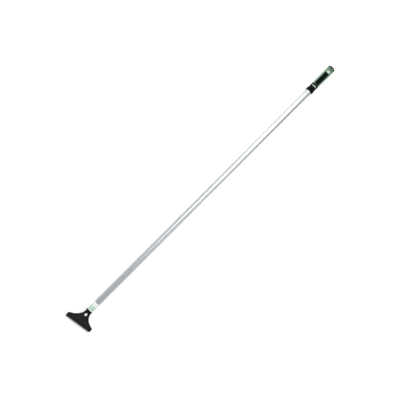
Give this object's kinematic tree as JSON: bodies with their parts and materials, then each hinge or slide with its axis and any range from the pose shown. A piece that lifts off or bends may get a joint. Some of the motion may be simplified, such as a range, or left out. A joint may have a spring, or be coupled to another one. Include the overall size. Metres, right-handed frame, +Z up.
{
  "type": "algae scraper",
  "caption": "Long-handled algae scraper: angled head with a clamped double-edged blade, a straight tube and a soft grip with a hanging slot.",
  "frame": {"origin": "on the floor below the middle of the overall length, with the pole level", "axes": "+X along the pole from the head to the grip, +Y across the blade to the left, +Z up, the head's open face up"},
  "size_m": [1.219, 0.1046, 0.0276],
  "materials": {
    "black_nylon": "fine matt grain",
    "blade_steel": "ground, bright at the edges",
    "zinc_steel": "zinc plated",
    "brass": "turned",
    "satin_aluminium": "satin, clear anodised",
    "label_paper": "satin film with a plain pattern",
    "black_rubber": "satin soft rubber",
    "green_gloss": "gloss",
    "pale_green": "satin"
  },
  "bodies": {
    "tool": {"head_body": "black_nylon", "threaded_insert_left": "brass", "threaded_insert_right": "brass", "pole_tube": "satin_aluminium", "label_sleeve": "label_paper", "grip_collar": "black_rubber", "grip_mark": "pale_green", "grip_core": "green_gloss", "grip_pad_top": "black_rubber", "grip_pad_bottom": "black_rubber", "end_cap": "black_rubber"},
    "blade": {"scraper_blade": "blade_steel"},
    "clamp": {"clamp_plate": "zinc_steel"},
    "washers_left": {"flat_washer_left": "zinc_steel", "lock_washer_left": "zinc_steel"},
    "washers_right": {"flat_washer_right": "zinc_steel", "lock_washer_right": "zinc_steel"},
    "screw_left": {"clamp_screw_left": "zinc_steel"},
    "screw_right": {"clamp_screw_right": "zinc_steel"}
  },
  "joints": [
    {"name": "clamp_drop", "type": "slide", "parent": "tool", "child": "clamp", "axis": [-0.1392, 0, -0.9903], "range_m": [0, 0.0028]},
    {"name": "left_washers_drop", "type": "slide", "parent": "tool", "child": "washers_left", "axis": [-0.1392, 0, -0.9903], "range_m": [0, 0.00281]},
    {"name": "right_washers_drop", "type": "slide", "parent": "tool", "child": "washers_right", "axis": [-0.1392, 0, -0.9903], "range_m": [0, 0.00281]},
    {"name": "left_screw_turn", "type": "hinge", "parent": "washers_left", "child": "screw_left", "pos_m": [-0.58212, 0.015, 0.01275], "axis": [-0.1392, 0, -0.9903], "range_deg": [0, 1441]},
    {"name": "right_screw_turn", "type": "hinge", "parent": "washers_right", "child": "screw_right", "pos_m": [-0.58212, -0.015, 0.01275], "axis": [-0.1392, 0, -0.9903], "range_deg": [0, 1441]},
    {"name": "blade_slide", "type": "slide", "parent": "tool", "child": "blade", "axis": [-0.9903, 0, 0.1392], "range_m": [0, 0.012]}
  ],
  "couplings": [
    {"joint": "left_washers_drop", "follows": "clamp_drop", "ratio": 1},
    {"joint": "right_washers_drop", "follows": "clamp_drop", "ratio": 1},
    {"joint": "left_screw_turn", "follows": "clamp_drop", "rad_per_m": 8976},
    {"joint": "right_screw_turn", "follows": "clamp_drop", "rad_per_m": 8976}
  ]
}
